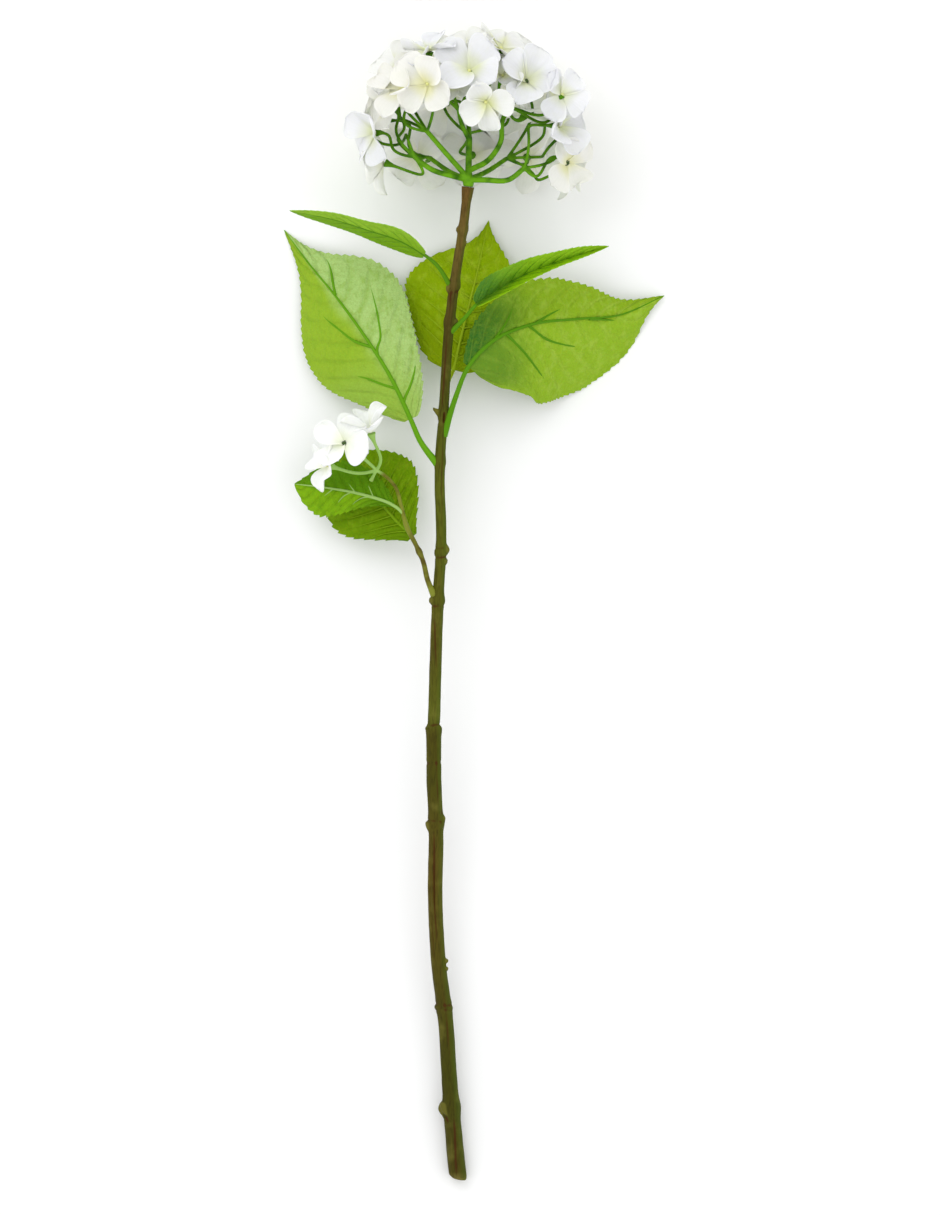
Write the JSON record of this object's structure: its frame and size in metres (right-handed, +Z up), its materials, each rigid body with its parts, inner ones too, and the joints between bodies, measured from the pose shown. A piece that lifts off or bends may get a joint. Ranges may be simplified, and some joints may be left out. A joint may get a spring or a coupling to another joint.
{
  "type": "cut hydrangea",
  "caption": "Cut hydrangea on a long woody stem, with a domed head of white florets, large serrated leaves and a small side shoot, lying on its side.",
  "frame": {"origin": "middle of the box's bottom face, on the surface that the stem lies on", "axes": "+Y along the stem from the cut end to the flower head, +Z up from the surface, +X across"},
  "size_m": [0.2435, 0.7408, 0.1323],
  "materials": {
    "bark": "matt, ridged green-brown bark",
    "shoot": "smooth green-brown young stem",
    "flower_stalks": "satin green",
    "leaf": "satin veined green",
    "petals": "matt white, pale green at the centre"
  },
  "bodies": {
    "root": {"main_stem": "bark", "side_shoot": "shoot", "flower_head_stalks": "flower_stalks", "leaf_left_large": "leaf", "leaf_right_large": "leaf", "leaf_back": "leaf", "leaf_left_upper": "leaf", "leaf_right_upper": "leaf", "leaf_shoot_front": "leaf", "leaf_shoot_back": "leaf", "floret_01": "petals", "floret_02": "petals", "floret_03": "petals", "floret_04": "petals", "floret_05": "petals", "floret_06": "petals", "floret_07": "petals", "floret_08": "petals", "floret_09": "petals", "floret_10": "petals", "floret_11": "petals", "floret_12": "petals", "floret_13": "petals", "floret_14": "petals", "floret_15": "petals", "floret_16": "petals", "floret_17": "petals", "floret_18": "petals", "floret_19": "petals", "floret_20": "petals", "floret_21": "petals", "floret_22": "petals", "floret_23": "petals", "floret_24": "petals", "floret_25": "petals", "floret_26": "petals", "floret_27": "petals", "floret_28": "petals", "floret_29": "petals", "floret_30": "petals", "floret_31": "petals", "floret_32": "petals", "floret_33": "petals", "floret_34": "petals", "floret_35": "petals", "floret_36": "petals", "floret_37": "petals", "floret_38": "petals", "floret_39": "petals", "floret_40": "petals", "floret_41": "petals", "floret_42": "petals", "side_floret_1": "petals", "side_floret_2": "petals", "side_floret_3": "petals"}
  },
  "joints": []
}
